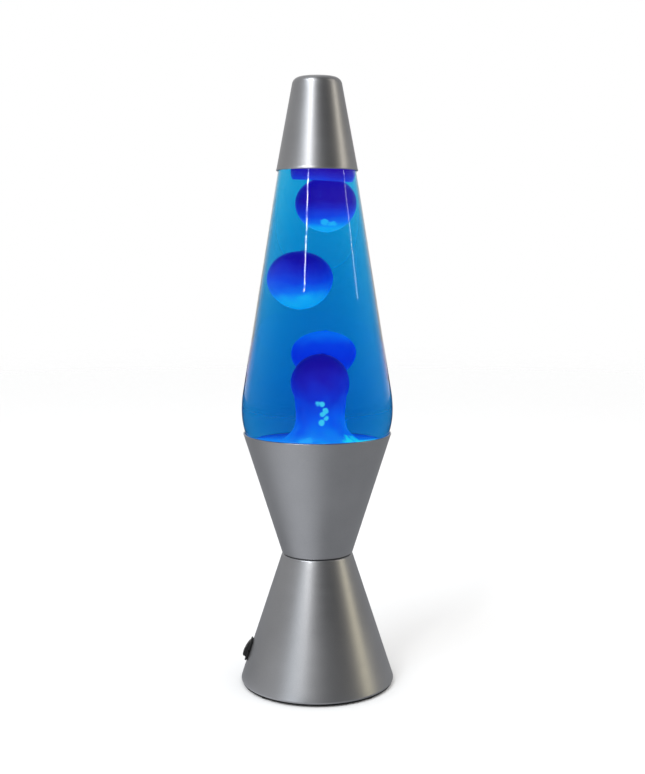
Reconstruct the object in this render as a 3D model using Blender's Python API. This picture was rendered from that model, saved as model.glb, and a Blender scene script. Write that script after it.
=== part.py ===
"""A lava lamp: two spun metal cones, a lit glass globe of liquid and wax, and a spun cap.

Standalone Blender 4.5 script. Metres, +Z up, the origin under the middle of the base on the table.
The lamp's front faces -Y, its switch is at -X and its cord hole at +Y.
"""

import math

import bmesh
import bpy
from mathutils import Matrix, Vector

MM = 0.001

# Driving dimensions: the outer shape. All that the lower cone carries is measured from DATUM_Z.
HEIGHT = 368 * MM
DATUM_Z = 2.2 * MM
BASE_R = 47.7 * MM
BASE_EDGE_Z = 1.7 * MM
SEAM_Z = 79.6 * MM
WAIST_R = 21.6 * MM
LIP_R = 44.8 * MM
LIP_Z = 154.1 * MM
GLOBE_R = 45.9 * MM
GLOBE_R_Z = 168 * MM
CAP_EDGE_R = 24.4 * MM
CAP_EDGE_Z = 311.4 * MM
CAP_TOP_R = 14.1 * MM

# Driving dimensions: materials and fits
SHEET = 0.6 * MM
GLASS = 2.2 * MM
GAP = 0.3 * MM
CONE_SEGMENTS = 32
GLOBE_SEGMENTS = 26
SMALL_SEGMENTS = 16

# Stand
WAIST_CORNER_R = 1.4 * MM
EDGE_CORNER_R = 0.9 * MM
FLANGE_R = 40.4 * MM
LOWER_TOP_Z = DATUM_Z + SEAM_Z - GAP
PAD_H = 0.5 * MM
PAD_R = 3.2 * MM
PAD_CIRCLE_R = 42.8 * MM
PLATE_R = 46.6 * MM
PLATE_RIM_H = 0.6 * MM
PLATE_FLOOR_Z = 4.2 * MM
PLATE_WALL = 1.5 * MM
VENTS = 8

# Lampholder and its clamps
HOLDER_R = 13.7 * MM
HOLDER_BORE_R = 9.2 * MM
HOLDER_TOP_Z = 84.8 * MM
HOLDER_BOTTOM_Z = 46 * MM
SKIRT_Z = 58 * MM
RING_R = 18.4 * MM
RING_H = 3 * MM
PIPE_R = 5 * MM
PIPE_BORE_R = 3.6 * MM
NUT_FLATS = 14 * MM
NUT_H = 2.9 * MM

# E14 thread, as a smooth wave between a crest and a root
PITCH = 2.822 * MM
THREAD_DEPTH = 0.7 * MM
BULB_ROOT_R = 6.15 * MM
THREAD_GAP = 0.28 * MM
THREAD_Z = (66.2 * MM, 76 * MM)

# Bulb
BULB_TIP_Z = 60.2 * MM
BULB_R = 14 * MM
BULB_TOP_Z = 117 * MM
BULB_WALL = 0.8 * MM

# Globe
TAPER = 0.1646
CONE_TAPER = (LIP_R - WAIST_R) / (LIP_Z - SEAM_Z - 1.2 * MM)
GLOBE_BOTTOM_Z = 130.5 * MM
NECK_R = 13.2 * MM
NECK_Z = 328 * MM
MOUTH_Z = 341 * MM
PUNT = 2 * MM
PUNT_R = 26 * MM
LIQUID_TOP_Z = 323 * MM
POOL_TOP_Z = 154 * MM
JACKET_Z = 161.5 * MM
COIL_RING_R = 19.5 * MM
COIL_R = 2.6 * MM
COIL_WIRE_R = 0.4 * MM
COIL_TURNS = 11

# Wax: (centre, radius, half height)
COLUMN = ((1.6 * MM, -14 * MM, 185.4 * MM), 14.6 * MM, 17.3 * MM)
MOUND = [  # (radius, z) in millimetres, from the column's neck down into the pool
    (12.5, 172.4),
    (12.2, 165.4),
    (14, 160),
    (18, 156.2),
    (22.5, 152),
    (23, 149),
    (23, 145),
]
BLOBS = {
    "lower": ((2.5 * MM, 15 * MM, 198.8 * MM), 13.4 * MM, 15 * MM),
    "middle": ((-8.1 * MM, 0, 245.2 * MM), 15.2 * MM, 17.3 * MM),
    "upper": ((4 * MM, 0, 290 * MM), 14 * MM, 16.2 * MM),
}
WAX_TOP_X = 2 * MM
WAX_TOP = [  # (radius, z) in millimetres, from its top round to its hollow underside
    (0, 321),
    (9, 320.4),
    (13.3, 317.5),
    (14.5, 312.5),
    (14.2, 308),
    (12.5, 306),
    (9.5, 307.5),
    (7.5, 310),
    (0, 311),
]

# Switch and cord hole, each on the lower cone's wall
SWITCH_Z = 19.6 * MM
BEZEL = (14.4 * MM, 9.8 * MM, 1.1 * MM)
BEZEL_CORNER_R = 2.6 * MM
HOUSING = (12.4 * MM, 8 * MM, 9.5 * MM)
WINDOW = (11.6 * MM, 6.6 * MM, 5 * MM)
ROCKER_W = 6 * MM
TERMINAL = (0.8 * MM, 4.8 * MM, 6 * MM)
TERMINAL_X = 3.4 * MM
ROCKER_TILT = math.radians(11)
GLAND_Z = 16.5 * MM
GLAND_BORE_R = 4 * MM

COLOURS = {  # base colour, roughness, metallic
    "silver_lacquer": ((0.52, 0.53, 0.56), 0.32, 1.0),
    "black_plastic": ((0.015, 0.015, 0.016), 0.4, 0.0),
    "black_rubber": ((0.02, 0.02, 0.02), 0.8, 0.0),
    "brass": ((0.72, 0.5, 0.2), 0.3, 1.0),
    "nickel": ((0.66, 0.63, 0.58), 0.25, 1.0),
    "steel": ((0.55, 0.55, 0.56), 0.35, 1.0),
    "ceramic": ((0.85, 0.83, 0.78), 0.5, 0.0),
    "wire_insulation": ((0.6, 0.6, 0.58), 0.5, 0.0),
    "clear_glass": ((0.9, 0.97, 1.0), 0.05, 0.0),
    "bulb_glass": ((0.95, 0.95, 0.92), 0.08, 0.0),
    "blue_liquid": ((0.02, 0.35, 0.75), 0.05, 0.0),
    "violet_wax": ((0.04, 0.05, 0.7), 0.35, 0.0),
    "tungsten": ((0.3, 0.28, 0.26), 0.4, 1.0),
}


def clear_scene():
    for obj in list(bpy.data.objects):
        bpy.data.objects.remove(obj, do_unlink=True)


def material(name):
    """The material of that name, made the first time it is asked for."""
    found = bpy.data.materials.get(name)
    if found:
        return found
    colour, roughness, metallic = COLOURS[name]
    made = bpy.data.materials.new(name)
    made.use_nodes = True
    shader = made.node_tree.nodes["Principled BSDF"]
    shader.inputs["Base Color"].default_value = (*colour, 1)
    shader.inputs["Roughness"].default_value = roughness
    shader.inputs["Metallic"].default_value = metallic
    return made


def empty(name, at=(0, 0, 0), rotation=None):
    made = bpy.data.objects.new(name, None)
    made.matrix_world = Matrix.Translation(at) @ (rotation or Matrix())
    bpy.context.collection.objects.link(made)
    return made


def add(name, mesh, finish, parent, at=(0, 0, 0)):
    """Puts a mesh or curve in the scene as one named piece of the lamp."""
    made = bpy.data.objects.new(name, mesh)
    mesh.materials.append(material(finish))
    bpy.context.collection.objects.link(made)
    made.parent = parent
    made.location = at
    return made


def fillet(before, corner, after, radius):
    """Points of an arc of this radius that rounds a corner of an outline."""
    steps = 2 if radius < 5 * MM else 3
    a = (Vector(before) - Vector(corner)).normalized()
    b = (Vector(after) - Vector(corner)).normalized()
    half = a.angle(b) / 2
    centre = Vector(corner) + (a + b).normalized() * radius / math.sin(half)
    start = Vector(corner) + a * radius / math.tan(half) - centre
    end = Vector(corner) + b * radius / math.tan(half) - centre
    sweep = start.angle_signed(end)
    return [centre + Matrix.Rotation(-sweep * i / steps, 2) @ start for i in range(steps + 1)]


def outline(*points):
    """(radius, z) points, where a third number rounds the corner at that point by that radius."""
    made = []
    for i, point in enumerate(points):
        if len(point) == 3:
            made += fillet(points[i - 1][:2], point[:2], points[i + 1][:2], point[2])
        else:
            made.append(Vector(point))
    return made


def arc(centre, radius, start, end, steps):
    """Points of an arc about (radius, z) centre, with its angles in degrees from straight outwards."""
    angles = [math.radians(start + (end - start) * i / steps) for i in range(steps + 1)]
    return [(centre[0] + radius * math.cos(a), centre[1] + radius * math.sin(a)) for a in angles]


def turned(name, points, finish, parent, segments, wall=0.0, ring=True, at=(0, 0, 0)):
    """A piece turned about Z from an outline that runs down its outer side.

    With wall, the outline is an open outer face that is thickened inwards. Without it, the outline
    closes on itself as a ring, or runs from the axis to the axis where ring is False.
    """
    mesh = bpy.data.meshes.new(name)
    count = len(points)
    edges = [(i, i + 1) for i in range(count - 1)]
    if ring and not wall:
        edges.append((count - 1, 0))
    mesh.from_pydata([(p[0], 0, p[1]) for p in points], edges, [])
    piece = add(name, mesh, finish, parent, at)
    screw = piece.modifiers.new("Turn", "SCREW")
    screw.steps = screw.render_steps = segments
    screw.use_merge_vertices = True
    screw.merge_threshold = 0.00001
    screw.use_smooth_shade = True
    if wall:
        solid = piece.modifiers.new("Wall", "SOLIDIFY")
        solid.thickness = wall
        solid.offset = -1
        solid.use_even_offset = True
    return piece


def tube(name, r_out, r_in, low, high, finish, parent, segments=SMALL_SEGMENTS):
    points = [(r_out, high), (r_out, low), (r_in, low), (r_in, high)]
    return turned(name, points, finish, parent, segments)


def rod(name, radius, low, high, finish, parent, segments=SMALL_SEGMENTS, at=(0, 0, 0)):
    points = [(0, high), (radius, high), (radius, low), (0, low)]
    return turned(name, points, finish, parent, segments, ring=False, at=at)


def prism(name, outline_xy, low, high, finish, parent, at=(0, 0, 0)):
    """A solid with this outline in XY, from low to high."""
    bm = bmesh.new()
    face = bm.faces.new([bm.verts.new((x, y, low)) for x, y in outline_xy])
    grown = bmesh.ops.extrude_face_region(bm, geom=[face])["geom"]
    top = [v for v in grown if isinstance(v, bmesh.types.BMVert)]
    bmesh.ops.translate(bm, verts=top, vec=(0, 0, high - low))
    bmesh.ops.recalc_face_normals(bm, faces=bm.faces)
    mesh = bpy.data.meshes.new(name)
    bm.to_mesh(mesh)
    bm.free()
    return add(name, mesh, finish, parent, at)


def rounded(length, width, corner_r):
    """The outline of a rectangle with rounded corners."""
    x, y = length / 2 - corner_r, width / 2 - corner_r
    corners = [((x, y), 0), ((-x, y), 90), ((-x, -y), 180), ((x, -y), 270)]
    return [point for at, start in corners for point in arc(at, corner_r, start, start + 90, 3)]


def block(name, size, middle, finish, parent):
    """A box of this size about its middle."""
    half_x, half_y = size[0] / 2, size[1] / 2
    corners = [(-half_x, -half_y), (half_x, -half_y), (half_x, half_y), (-half_x, half_y)]
    return prism(name, corners, -size[2] / 2, size[2] / 2, finish, parent, middle)


def wire(name, points, radius, finish, parent, closed=False, sides=1):
    """A round wire through these points."""
    curve = bpy.data.curves.new(name, "CURVE")
    curve.dimensions = "3D"
    curve.bevel_depth = radius
    curve.bevel_resolution = sides
    curve.use_fill_caps = not closed
    spline = curve.splines.new("POLY")
    spline.points.add(len(points) - 1)
    for spot, point in zip(spline.points, points):
        spot.co = (*point, 1)
    spline.use_cyclic_u = closed
    return add(name, curve, finish, parent)


def boolean(piece, other, operation="DIFFERENCE"):
    """Cuts or joins another solid, which is then only a helper."""
    cut = piece.modifiers.new("Cut", "BOOLEAN")
    cut.operation = operation
    cut.object = other
    other.hide_render = True
    other.display_type = "WIRE"


def smooth_by_angle(piece, degrees=35):
    """Smooth round faces, with sharp edges where they turn by more than this."""
    piece.data.shade_smooth()
    piece.data.set_sharp_from_angle(angle=math.radians(degrees))


def base_wall_r(z):
    """The lower cone's outer radius at a height."""
    slope = (BASE_R - WAIST_R) / (LOWER_TOP_Z - BASE_EDGE_Z)
    return BASE_R - slope * (z - BASE_EDGE_Z)


def globe_r(z):
    """The globe's outer radius on its long straight taper."""
    return taper_start()[0] - TAPER * (z - taper_start()[1])


def taper_start():
    """Where the globe's shoulder runs into its taper."""
    bend = math.atan(TAPER)
    radius = 70 * MM
    return (GLOBE_R - radius * (1 - math.cos(bend)), GLOBE_R_Z + radius * math.sin(bend))


def on_wall(name, azimuth, z):
    """An empty on the lower cone's outer face: local Z points out of the wall, local X up its slope."""
    lean = math.atan((BASE_R - WAIST_R) / (LOWER_TOP_Z - BASE_EDGE_Z))
    turn = Matrix.Rotation(math.radians(azimuth), 4, "Z")
    tip = Matrix.Rotation(math.pi / 2 - lean, 4, "Y") @ Matrix.Rotation(math.pi, 4, "Z")
    at = turn @ Vector((base_wall_r(z), 0, z))
    return empty(name, at, turn @ tip)


def make_lower_cone(base):
    points = outline(
        (HOLDER_R + 2 * GAP, LOWER_TOP_Z),
        (WAIST_R, LOWER_TOP_Z, WAIST_CORNER_R),
        (BASE_R, BASE_EDGE_Z, EDGE_CORNER_R),
        (FLANGE_R, BASE_EDGE_Z),
    )
    return turned("lower_cone", points, "silver_lacquer", base, CONE_SEGMENTS, wall=SHEET)


def make_upper_cone(stack):
    points = outline(
        (LIP_R, LIP_Z),
        (WAIST_R, SEAM_Z, 1.2 * MM),
        (HOLDER_R + 2 * GAP, SEAM_Z),
    )
    turned("upper_cone", points, "silver_lacquer", stack, CONE_SEGMENTS, wall=SHEET)


def make_bottom_plate(base):
    rim_z = PAD_H + GAP
    floor_top = PLATE_FLOOR_Z + PLATE_WALL
    wall_r = FLANGE_R - 2 * GAP
    points = [
        (PLATE_R, rim_z + PLATE_RIM_H),
        (PLATE_R, rim_z),
        (wall_r - PLATE_WALL, rim_z),
        (wall_r - PLATE_WALL, PLATE_FLOOR_Z),
        (PIPE_R + GAP, PLATE_FLOOR_Z),
        (PIPE_R + GAP, floor_top),
        (wall_r, floor_top),
        (wall_r, rim_z + PLATE_RIM_H),
    ]
    plate = turned("bottom_plate", points, "black_plastic", base, CONE_SEGMENTS)
    bm = bmesh.new()
    for i in range(VENTS):
        bmesh.ops.create_cube(bm, size=1, matrix=vent_place(i))
    mesh = bpy.data.meshes.new("vent_cutter")
    bm.to_mesh(mesh)
    bm.free()
    boolean(plate, add("vent_cutter", mesh, "black_plastic", base))
    for i in range(4):
        angle = math.radians(45 + 90 * i)
        at = (PAD_CIRCLE_R * math.cos(angle), PAD_CIRCLE_R * math.sin(angle), 0)
        rod(f"foot_pad_{i + 1}", PAD_R, 0, PAD_H, "black_rubber", base, 12, at)


def vent_place(i):
    """Where vent slot i cuts the bottom plate's floor, for a cube of side 1."""
    turn = Matrix.Rotation(2 * math.pi * (i + 0.5) / VENTS, 4, "Z")
    middle = Matrix.Translation((24 * MM, 0, PLATE_FLOOR_Z + PLATE_WALL / 2))
    return turn @ middle @ Matrix.Diagonal((16 * MM, 3 * MM, 2 * PLATE_WALL, 1))


def hexagon(flats):
    corner = flats / math.sqrt(3)
    return [(corner * math.cos(a), corner * math.sin(a)) for a in (math.pi * i / 3 for i in range(6))]


def nut(name, flats, bore_r, low, high, finish, parent):
    """A hexagonal nut with a round hole, standing along Z."""
    made = prism(name, hexagon(flats), low, high, finish, parent)
    boolean(made, rod(name + "_bore", bore_r, low - MM, high + MM, finish, parent))


def make_clamps(stack):
    bore_r = HOLDER_R + GAP
    low = SEAM_Z - SHEET - 2 * GAP - RING_H
    tube("lower_clamp_ring", RING_R, bore_r, low, low + RING_H, "black_plastic", stack, 24)
    low = SEAM_Z + SHEET + GAP
    tube("upper_clamp_ring", RING_R, bore_r, low, low + RING_H, "black_plastic", stack, 24)


def make_pipe(base):
    """The hollow rod that ties the bottom plate to the lampholder, and its two nuts."""
    holder_z = DATUM_Z + HOLDER_BOTTOM_Z
    tube("lamp_pipe", PIPE_R, PIPE_BORE_R, 1 * MM, holder_z + 4 * MM, "nickel", base)
    for name, top in (("pipe_nut", PLATE_FLOOR_Z - GAP), ("pipe_lock_nut", holder_z - GAP)):
        nut(name, NUT_FLATS, PIPE_R + GAP, top - NUT_H, top, "nickel", base)


def make_lampholder(stack):
    rim_z = HOLDER_TOP_Z
    lip_r = BULB_ROOT_R + THREAD_DEPTH + 3 * GAP
    points = [
        (HOLDER_R, rim_z),
        (HOLDER_R, SKIRT_Z),
        (HOLDER_BORE_R, SKIRT_Z),
        (HOLDER_BORE_R, rim_z - 2 * MM),
        (lip_r, rim_z - 2 * MM),
        (lip_r, rim_z),
    ]
    turned("lampholder_skirt", points, "black_plastic", stack, 24)
    top = SKIRT_Z - GAP
    points = outline(
        (12.6 * MM, top),
        (12.6 * MM, 52 * MM, 2 * MM),
        (7.5 * MM, 49 * MM),
        (7.5 * MM, HOLDER_BOTTOM_Z),
        (PIPE_R + GAP, HOLDER_BOTTOM_Z),
        (PIPE_R + GAP, 50.5 * MM),
        (10.4 * MM, 50.5 * MM),
        (10.4 * MM, top),
    )
    holder = turned("lampholder_base", points, "black_plastic", stack, 24)
    hole = rod("lead_hole", 1.9 * MM, 0, 16 * MM, "black_plastic", stack, 10)
    hole.matrix_local = Matrix.Translation((0, 0, 54 * MM)) @ Matrix.Rotation(-math.pi / 2, 4, "Y")
    boolean(holder, hole)
    rod("lampholder_core", 10 * MM, 55 * MM, top, "ceramic", stack, 20)
    leaf = [(-4, 0), (4, 0), (4, 0.4), (1.5, 0.5), (1.5, 2), (-1.5, 2), (-3, 0.5), (-4, 0.4)]
    contact = strip("lampholder_contact", leaf, 3 * MM, "brass", stack)
    contact.location.z = SKIRT_Z
    for i, side in enumerate((-1, 1)):
        middle = (side * 6 * MM, 0, 53 * MM)
        block(f"holder_terminal_{i + 1}", (3 * MM, 4 * MM, 3.2 * MM), middle, "brass", stack)
        screw = rod(f"terminal_screw_{i + 1}", 1.2 * MM, 0, 1.5 * MM, "steel", stack, 8)
        place = Matrix.Translation((side * 7.8 * MM, 0, 53 * MM))
        screw.matrix_local = place @ Matrix.Rotation(side * math.pi / 2, 4, "Y")
    threaded("lampholder_shell", 58 * MM, 80 * MM, "brass", stack, holder=True)


def strip(name, side_view, width, finish, parent):
    """A bent strip: its side view in X and Z, in millimetres, given a width along Y."""
    made = prism(name, [(x * MM, z * MM) for x, z in side_view], -width / 2, width / 2, finish, parent)
    made.data.transform(Matrix.Rotation(math.pi / 2, 4, "X"))
    return made


def thread_r(z, angle, holder):
    """Radius of the bulb's threaded shell, or of the inner face of the holder's shell."""
    low, high = THREAD_Z
    fade = max(0.0, min(1.0, (z - low) / PITCH + 1, (high - z) / PITCH + 1))
    root = 0.5 - 0.5 * math.cos(2 * math.pi * (z - low) / PITCH - angle)
    if holder:
        return BULB_ROOT_R + THREAD_DEPTH + THREAD_GAP - THREAD_DEPTH * fade * root
    return BULB_ROOT_R + THREAD_DEPTH * fade * (1 - root)


def threaded(name, low, high, finish, parent, holder):
    """A shell from low to high, threaded on the face that meets the other one and plain on the other face."""
    start, end = THREAD_Z[0] - PITCH, THREAD_Z[1] + PITCH
    rows = round((end - start) / (PITCH / 5))
    heights = [low] + [start + (end - start) * i / rows for i in range(rows + 1)] + [high]
    plain_r = BULB_ROOT_R - 0.5 * MM
    if holder:
        plain_r = BULB_ROOT_R + THREAD_DEPTH + THREAD_GAP + 0.5 * MM
    bm = bmesh.new()
    angles = [2 * math.pi * i / SMALL_SEGMENTS for i in range(SMALL_SEGMENTS)]
    rings = []
    for z in heights:
        radii = [thread_r(z, a, holder) for a in angles]
        rings.append([bm.verts.new((r * math.cos(a), r * math.sin(a), z)) for r, a in zip(radii, angles)])
    for z in (high, low):
        rings.append([bm.verts.new((plain_r * math.cos(a), plain_r * math.sin(a), z)) for a in angles])
    for first, second in zip(rings, rings[1:] + rings[:1]):
        for i in range(SMALL_SEGMENTS):
            j = (i + 1) % SMALL_SEGMENTS
            bm.faces.new((first[i], first[j], second[j], second[i]))
    bmesh.ops.recalc_face_normals(bm, faces=bm.faces)
    mesh = bpy.data.meshes.new(name)
    bm.to_mesh(mesh)
    bm.free()
    made = add(name, mesh, finish, parent)
    smooth_by_angle(made)
    return made


def make_bulb(stack):
    tip = empty("bulb_tip")
    tip.parent = stack
    bulb = empty("bulb")
    bulb.parent = tip
    shell_low = 63.2 * MM
    rod("bulb_contact", 2.2 * MM, BULB_TIP_Z, BULB_TIP_Z + 0.7 * MM, "nickel", tip)
    insulator_low = BULB_TIP_Z + 0.7 * MM + GAP
    points = [(0, shell_low - GAP), (5.6 * MM, shell_low - GAP), (2.6 * MM, insulator_low), (0, insulator_low)]
    turned("bulb_insulator", points, "black_plastic", tip, SMALL_SEGMENTS, ring=False)
    threaded("bulb_shell", shell_low, 80.5 * MM, "nickel", bulb, holder=False)
    neck_z = 80.8 * MM
    points = outline(
        (0, BULB_TOP_Z),
        (BULB_R, BULB_TOP_Z, 12.5 * MM),
        (BULB_R, 96 * MM, 9 * MM),
        (6.2 * MM, 86 * MM, 5 * MM),
        (6.2 * MM, neck_z),
    )
    turned("bulb_glass", points, "bulb_glass", bulb, SMALL_SEGMENTS, wall=BULB_WALL)
    points = [(0, 94 * MM), (1.5 * MM, 94 * MM), (1.5 * MM, 86 * MM), (4.8 * MM, neck_z), (0, neck_z)]
    turned("bulb_stem", points, "bulb_glass", bulb, 12, ring=False)
    reach, filament_z = 6 * MM, 102 * MM
    for i, side in enumerate((-1, 1)):
        route = [(side * 0.8 * MM, 0, 94.3 * MM), (side * 1.6 * MM, 0, 96 * MM), (side * reach, 0, filament_z)]
        wire(f"bulb_support_{i + 1}", route, 0.25 * MM, "nickel", bulb)
    turns, steps = 7, 4
    span = reach - 2 * 0.25 * MM - GAP
    coil = []
    for i in range(turns * steps + 1):
        share = i / (turns * steps)
        angle = 2 * math.pi * i / steps
        x = span * (2 * share - 1)
        rise = filament_z + 1.2 * MM * math.sin(math.pi * share)
        coil.append((x, 0.55 * MM * math.cos(angle), rise + 0.55 * MM * math.sin(angle)))
    wire("bulb_filament", coil, 0.14 * MM, "tungsten", bulb, sides=0)


def globe_outline():
    """The globe's outer face, from its mouth down to the middle of its bottom."""
    bend = math.degrees(math.atan(TAPER))
    lean = math.degrees(math.atan(CONE_TAPER))
    lower_bend = 45 * MM
    neck = outline(
        (NECK_R, MOUTH_Z),
        (NECK_R + 0.6 * MM, MOUTH_Z - 1.5 * MM),
        (NECK_R, MOUTH_Z - 4.5 * MM),
        (NECK_R, NECK_Z, 4 * MM),
        (globe_r(321 * MM), 321 * MM, 7 * MM),
        taper_start(),
    )
    upper = arc((GLOBE_R - 70 * MM, GLOBE_R_Z), 70 * MM, bend, 0, 2)[1:]
    lower = arc((GLOBE_R - lower_bend, GLOBE_R_Z), lower_bend, 0, -lean, 3)[1:]
    r, z = lower[-1]
    foot_r = r - CONE_TAPER * (z - GLOBE_BOTTOM_Z)
    foot = outline((r, z), (foot_r, GLOBE_BOTTOM_Z, 6 * MM), (PUNT_R, GLOBE_BOTTOM_Z))[1:]
    return neck + upper + lower + foot + [(0, GLOBE_BOTTOM_Z + PUNT)]


def inside_globe_r(z, offset):
    """Radius at a height inside the globe, this far in from its outer face."""
    points = [Vector(p) for p in globe_outline()]
    for above, below in zip(points, points[1:]):
        if below[1] <= z <= above[1]:
            share = (z - below[1]) / max(above[1] - below[1], 1e-9)
            lean = (above - below).normalized()
            return below[0] + share * (above[0] - below[0]) - offset / max(abs(lean[1]), 0.5)
    return 0.0


def make_globe(globe):
    turned("globe_glass", globe_outline(), "clear_glass", globe, GLOBE_SEGMENTS, wall=GLASS)
    make_crown(globe)
    make_liquid(globe)
    make_wax_pool(globe)
    make_coil(globe)
    points = [(r * MM, z * MM) for r, z in WAX_TOP]
    turned("wax_top", points, "violet_wax", globe, SMALL_SEGMENTS, ring=False, at=(WAX_TOP_X, 0, 0))


def make_crown(globe):
    low = MOUTH_Z + GAP
    rod("crown_seal", 12.4 * MM, low, low + 0.7 * MM, "black_rubber", globe, 20)
    skin = 0.35 * MM
    top = low + 0.7 * MM + GAP + skin
    points = outline(
        (0, top),
        (14.9 * MM, top, 1.2 * MM),
        (16 * MM, top - 6 * MM),
    )
    turned("crown_cap", points, "steel", globe, 24, wall=skin)


def make_liquid(globe):
    """The liquid against the glass. It leaves free the space in which the wax rises and sinks."""
    offset = GLASS + GAP
    heights = [LIQUID_TOP_Z, 318 * MM, 312 * MM, 245 * MM, taper_start()[1], GLOBE_R_Z, JACKET_Z]
    outer = [(inside_globe_r(z, offset), z) for z in heights]
    shaft = [
        (30.5 * MM, JACKET_Z),
        (30.5 * MM, 222 * MM),
        (24.4 * MM, 262 * MM),
        (18.6 * MM, 303 * MM),
        (16.2 * MM, 318 * MM),
        (9 * MM, LIQUID_TOP_Z),
    ]
    turned("globe_liquid", outer + shaft, "blue_liquid", globe, GLOBE_SEGMENTS)


def blob(name, radius, half, parent, at):
    """A wax blob: egg-shaped, a little fuller above its middle."""
    rings = 9
    points = []
    for i in range(rings + 1):
        angle = math.pi * i / rings
        full = 1 + 0.05 * math.cos(angle)
        points.append((radius * full * math.sin(angle), half * math.cos(angle)))
    points[0] = (0, half)
    points[-1] = (0, -half)
    return turned(name, points, "violet_wax", parent, SMALL_SEGMENTS, ring=False, at=at)


def make_wax_pool(globe):
    """The wax on the globe's floor, with a channel for the wire coil and the column that rises from it."""
    floor_z = GLOBE_BOTTOM_Z + PUNT + GLASS + GAP
    channel = COIL_R + COIL_WIRE_R + GAP
    in_r, out_r = COIL_RING_R - channel, COIL_RING_R + channel
    channel_top = floor_z + 2 * channel
    wall_low = floor_z + 3 * MM
    points = [
        (0, POOL_TOP_Z + 1 * MM),
        (26 * MM, POOL_TOP_Z),
        (inside_globe_r(POOL_TOP_Z, GLASS + 2 * GAP), POOL_TOP_Z - 1 * MM),
        (inside_globe_r(wall_low, GLASS + 2 * GAP), wall_low),
        (31 * MM, floor_z - PUNT),
        (PUNT_R, floor_z - PUNT),
        (out_r, floor_z - PUNT * out_r / PUNT_R),
        (out_r, channel_top),
        (in_r, channel_top),
        (in_r, floor_z - PUNT * in_r / PUNT_R),
        (0, floor_z),
    ]
    pool = turned("wax_pool", points, "violet_wax", globe, GLOBE_SEGMENTS, ring=False)
    (x, y, z), radius, half = COLUMN
    angles = [math.pi * 0.65 * i / 6 for i in range(7)]
    column = [(radius * math.sin(a), half * math.cos(a)) for a in angles]
    column += [(r * MM, height * MM - z) for r, height in MOUND] + [(0, MOUND[-1][1] * MM - z)]
    joined = turned("wax_column", column, "violet_wax", globe, SMALL_SEGMENTS, ring=False, at=(x, y, z))
    boolean(pool, joined, "UNION")


def make_coil(globe):
    steps = 6
    count = COIL_TURNS * steps
    z = GLOBE_BOTTOM_Z + PUNT + GLASS + GAP + COIL_R + COIL_WIRE_R
    points = []
    for i in range(count):
        around = 2 * math.pi * i / count
        turn = 2 * math.pi * i / steps
        r = COIL_RING_R + COIL_R * math.cos(turn)
        points.append((r * math.cos(around), r * math.sin(around), z + COIL_R * math.sin(turn)))
    wire("wire_coil", points, COIL_WIRE_R, "steel", globe, closed=True, sides=0)


def make_cap(cap):
    top = HEIGHT - DATUM_Z
    points = outline(
        (0, top),
        (CAP_TOP_R, top, 4.8 * MM),
        (CAP_EDGE_R, CAP_EDGE_Z),
    )
    turned("cap", points, "silver_lacquer", cap, CONE_SEGMENTS, wall=SHEET)


def make_switch(base, lower_cone):
    seat = on_wall("switch_seat", 180, SWITCH_Z)
    seat.parent = base
    long, wide, thick = BEZEL
    body_outline = rounded(long, wide, BEZEL_CORNER_R)
    body = prism("switch_housing", body_outline, GAP, GAP + thick, "black_plastic", seat)
    shank = block("housing_shank", HOUSING, (0, 0, GAP + thick / 2 - HOUSING[2] / 2), "black_plastic", seat)
    boolean(body, shank, "UNION")
    pocket = block("switch_window", (*WINDOW[:2], 2 * WINDOW[2]), (0, 0, GAP + thick), "black_plastic", seat)
    boolean(body, pocket)
    pin_hole = rod("pin_hole", 1.1 * MM, -wide, wide, "black_plastic", seat, 12)
    pin_hole.matrix_local = Matrix.Rotation(math.pi / 2, 4, "X")
    boolean(body, pin_hole)
    cutout = (HOUSING[0] + 2 * GAP, HOUSING[1] + 2 * GAP, 12 * MM)
    boolean(lower_cone, block("switch_cutout", cutout, (0, 0, 0), "silver_lacquer", seat))
    for i, side in enumerate((-1, 1)):
        middle = (side * TERMINAL_X, 0, switch_back() - TERMINAL[2] / 2)
        block(f"switch_terminal_{i + 1}", TERMINAL, middle, "nickel", seat)
    make_rocker(seat)
    return seat


def switch_back():
    """How deep behind the wall's outer face the switch's terminals start, as local Z."""
    return BEZEL[2] / 2 - HOUSING[2]


def make_rocker(seat):
    """The rocker in its on position: its lower end, at local -X, stands out of the housing."""
    pivot = empty("rocker_pivot")
    pivot.parent = seat
    half = [(5.2, -0.8), (5.2, 1.6), (4.9, 2.3), (4.2, 2.8), (2.4, 3.15), (0, 3.25)]
    side = [(4.2, -1.8)] + half + [(-x, z) for x, z in half[-2::-1]] + [(-4.2, -1.8)]
    tilted = [Matrix.Rotation(-ROCKER_TILT, 2) @ Vector(p) * MM for p in side]
    rocker = prism("switch_rocker", tilted, -ROCKER_W / 2, ROCKER_W / 2, "black_plastic", pivot)
    pin = rod("rocker_pin", 0.8 * MM, -3.7 * MM, 3.7 * MM, "black_plastic", pivot, 10)
    for piece in (rocker, pin):
        piece.matrix_local = Matrix.Rotation(math.pi / 2, 4, "X")
    boolean(rocker, pin, "UNION")


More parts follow.
